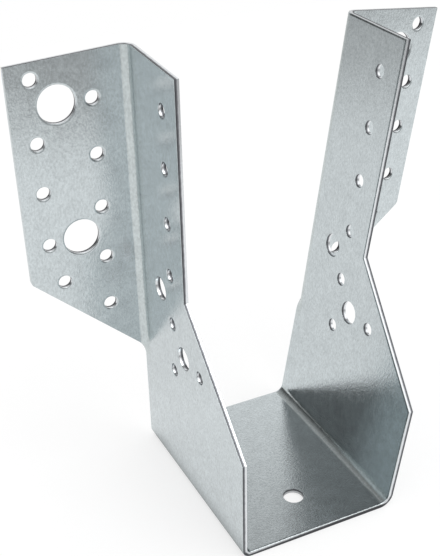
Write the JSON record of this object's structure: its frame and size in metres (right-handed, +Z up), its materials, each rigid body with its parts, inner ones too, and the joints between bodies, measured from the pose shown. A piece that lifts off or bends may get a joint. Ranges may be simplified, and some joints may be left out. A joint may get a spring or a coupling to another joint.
{
  "type": "joist hanger",
  "caption": "Face-fix joist hanger folded from one galvanised steel sheet: a seat between two tapered legs with flanges turned outwards, punched for nails and bolts.",
  "frame": {"origin": "middle of the seat's underside, where the hanger stands", "axes": "+X towards the right leg, +Y towards the header that the flanges lie against, +Z up out of the seat"},
  "size_m": [0.1709, 0.0849, 0.1656],
  "materials": {
    "galvanised_steel": "hot-dip galvanised sheet, light blue-grey, fine grain, semi-gloss"
  },
  "bodies": {
    "root": {"joist_hanger": "galvanised_steel"}
  },
  "joints": []
}
